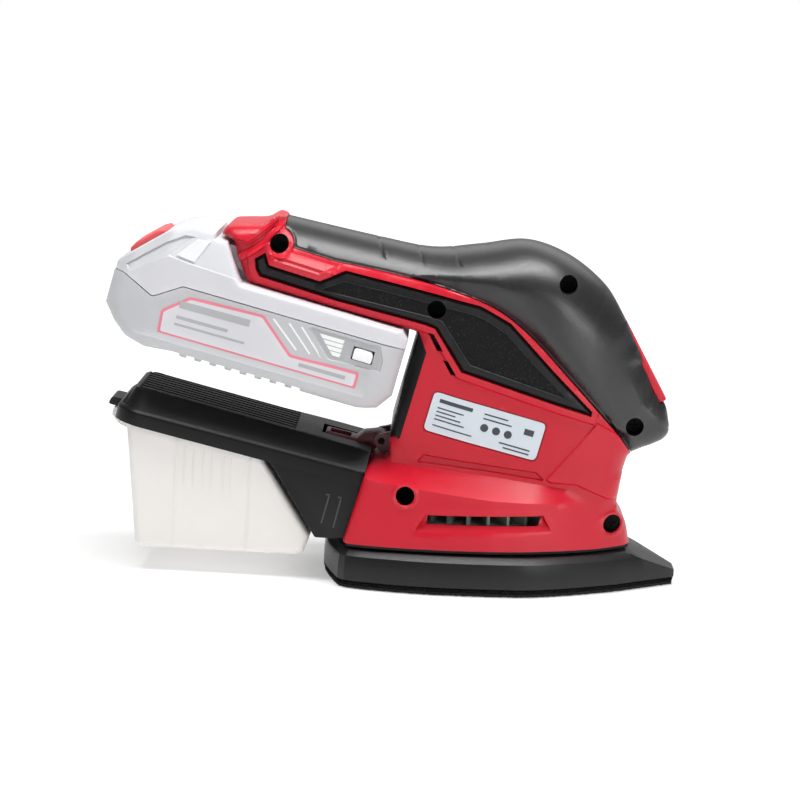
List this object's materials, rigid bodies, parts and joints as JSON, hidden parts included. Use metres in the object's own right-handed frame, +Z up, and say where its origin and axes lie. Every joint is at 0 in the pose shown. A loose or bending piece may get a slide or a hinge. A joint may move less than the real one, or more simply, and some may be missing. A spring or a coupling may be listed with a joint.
{
  "type": "detail mouse sander",
  "caption": "Cordless detail sander with an iron-shaped orbiting foot, soft palm grip, slide-on battery and a rear dust box.",
  "frame": {"origin": "on the abrasive's working face, under the motor shaft's axis", "axes": "+X towards the foot's pointed tip, +Z up out of the working face, -Y is the tool's right side"},
  "size_m": [0.2464, 0.1032, 0.1508],
  "materials": {
    "red_shell": "moulded red nylon, satin",
    "black_shell": "moulded black nylon, satin",
    "soft_grip": "fine-grained black soft overmould",
    "inlay": "textured black",
    "plate": "pale plate, left blank",
    "screw_steel": "blackened steel",
    "steel": "ground steel",
    "magnet": "sintered ferrite",
    "copper": "copper alloy",
    "black_rubber": "black rubber",
    "fan_plastic": "pale grey-green plastic",
    "board": "green laminate",
    "red_lead": "red insulation",
    "pad_plastic": "black moulded platen",
    "hook": "hook-and-loop face",
    "abrasive": "aluminium oxide grit on paper",
    "case_pale": "pale moulded plastic",
    "case_grey": "light grey moulded plastic",
    "cell": "wrapped lithium cell",
    "container": "milky translucent plastic",
    "filter_paper": "pleated filter medium",
    "latch_red": "dark red plastic"
  },
  "bodies": {
    "housing": {"right_housing": "red_shell", "left_housing": "red_shell", "right_grip": "soft_grip", "left_grip": "soft_grip", "right_inlay": "inlay", "left_inlay": "inlay", "rating_label": "plate", "housing_screw_1": "screw_steel", "housing_screw_2": "screw_steel", "housing_screw_3": "screw_steel", "housing_screw_4": "screw_steel", "housing_screw_5": "screw_steel", "housing_screw_6": "screw_steel", "switch_bezel": "red_shell", "switch_body": "black_shell", "motor_can": "steel", "motor_end_cap": "black_shell", "motor_magnet_front": "magnet", "motor_magnet_rear": "magnet", "main_bearing": "steel", "bearing_plate": "steel", "dust_volute": "black_shell", "skirt_seal": "black_rubber", "terminal_block": "black_shell", "terminal_blade_1": "copper", "terminal_blade_2": "copper", "terminal_blade_3": "copper", "controller_board": "board", "board_capacitor": "black_shell", "battery_lead": "red_lead", "motor_lead": "black_rubber", "latch_pin": "steel"},
    "rotor": {"motor_rotor": "steel", "fan": "fan_plastic", "eccentric": "steel"},
    "pad": {"sanding_pad": "pad_plastic", "hook_layer": "hook", "abrasive_sheet": "abrasive", "eccentric_bearing": "steel", "rubber_foot_rear_right": "black_rubber", "rubber_foot_rear_left": "black_rubber", "rubber_foot_front_right": "black_rubber", "rubber_foot_front_left": "black_rubber"},
    "switch": {"switch_rocker": "black_shell"},
    "battery": {"battery_upper_case": "case_pale", "battery_lower_case": "case_grey", "battery_contact_block": "black_shell", "battery_label": "plate", "gauge_panel": "case_grey", "battery_cell_1": "cell", "battery_cell_2": "cell", "battery_cell_3": "cell", "battery_cell_4": "cell", "battery_cell_5": "cell"},
    "battery_release": {"battery_release_button": "red_shell"},
    "gauge": {"gauge_button": "case_pale"},
    "dust_box": {"dust_box_lid": "black_shell", "dust_filter": "filter_paper"},
    "container": {"dust_container": "container"},
    "latch": {"dust_latch": "latch_red"}
  },
  "joints": [
    {"name": "rotor_spin", "type": "hinge", "parent": "housing", "child": "rotor", "pos_m": [0, 0, 0.05], "axis": [0, 0, 1], "continuous": true},
    {"name": "pad_orbit", "type": "hinge", "parent": "rotor", "child": "pad", "pos_m": [0.001, 0, 0.0105], "axis": [0, 0, 1], "continuous": true},
    {"name": "rocker_tilt", "type": "hinge", "parent": "housing", "child": "switch", "pos_m": [0.06335, 0, 0.09568], "axis": [0, 1, 0], "range_deg": [-6, 6]},
    {"name": "battery_slide", "type": "slide", "parent": "housing", "child": "battery", "axis": [-0.9736, 0, 0.2284], "range_m": [0, 0.095]},
    {"name": "release_press", "type": "slide", "parent": "battery", "child": "battery_release", "axis": [0.527, 0, -0.8499], "range_m": [0, 0.0022], "stiffness_N_per_m": 400, "springref_m": -0.002},
    {"name": "gauge_press", "type": "slide", "parent": "battery", "child": "gauge", "axis": [0, 1, 0], "range_m": [0, 0.0008], "stiffness_N_per_m": 300, "springref_m": -0.001},
    {"name": "dust_box_slide", "type": "slide", "parent": "housing", "child": "dust_box", "axis": [-0.9781, 0, 0.2079], "range_m": [0, 0.06]},
    {"name": "container_drop", "type": "slide", "parent": "dust_box", "child": "container", "axis": [-0.2079, 0, -0.9781], "range_m": [0, 0.03]},
    {"name": "latch_lift", "type": "hinge", "parent": "housing", "child": "latch", "pos_m": [-0.0426, 0, 0.0564], "axis": [0, 1, 0], "range_deg": [0, 18], "stiffness_Nm_per_rad": 0.02, "springref_deg": -11.46}
  ],
  "couplings": [
    {"joint": "pad_orbit", "follows": "rotor_spin", "ratio": -1}
  ]
}
